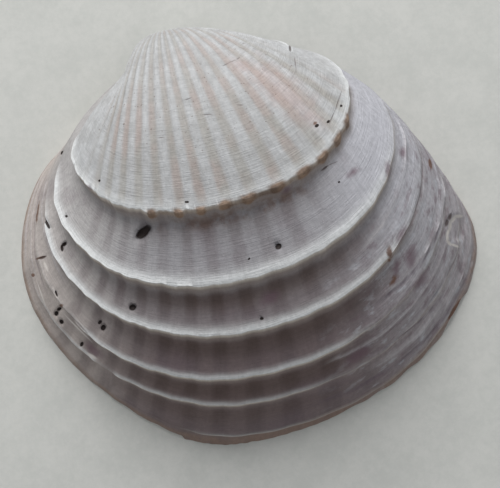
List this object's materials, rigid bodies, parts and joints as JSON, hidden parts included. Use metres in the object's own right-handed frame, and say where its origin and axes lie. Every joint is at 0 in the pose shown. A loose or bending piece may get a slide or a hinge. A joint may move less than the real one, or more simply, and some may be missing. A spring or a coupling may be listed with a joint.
{
  "type": "chionopsis gnidia shell",
  "caption": "Worn left valve of a frilled venus clam, domed outside with broken growth ledges and fine ribs, resting on its margin.",
  "frame": {"origin": "on the surface it lies on, under the middle of the valve's length and height", "axes": "+X towards the back (posterior) end along the valve's length, +Y from the lower margin towards the hinge and the beak, +Z out of the valve's domed outside"},
  "size_m": [0.0698, 0.0646, 0.0221],
  "materials": {
    "worn_shell": "worn, matte"
  },
  "bodies": {
    "root": {"valve": "worn_shell"}
  },
  "joints": []
}
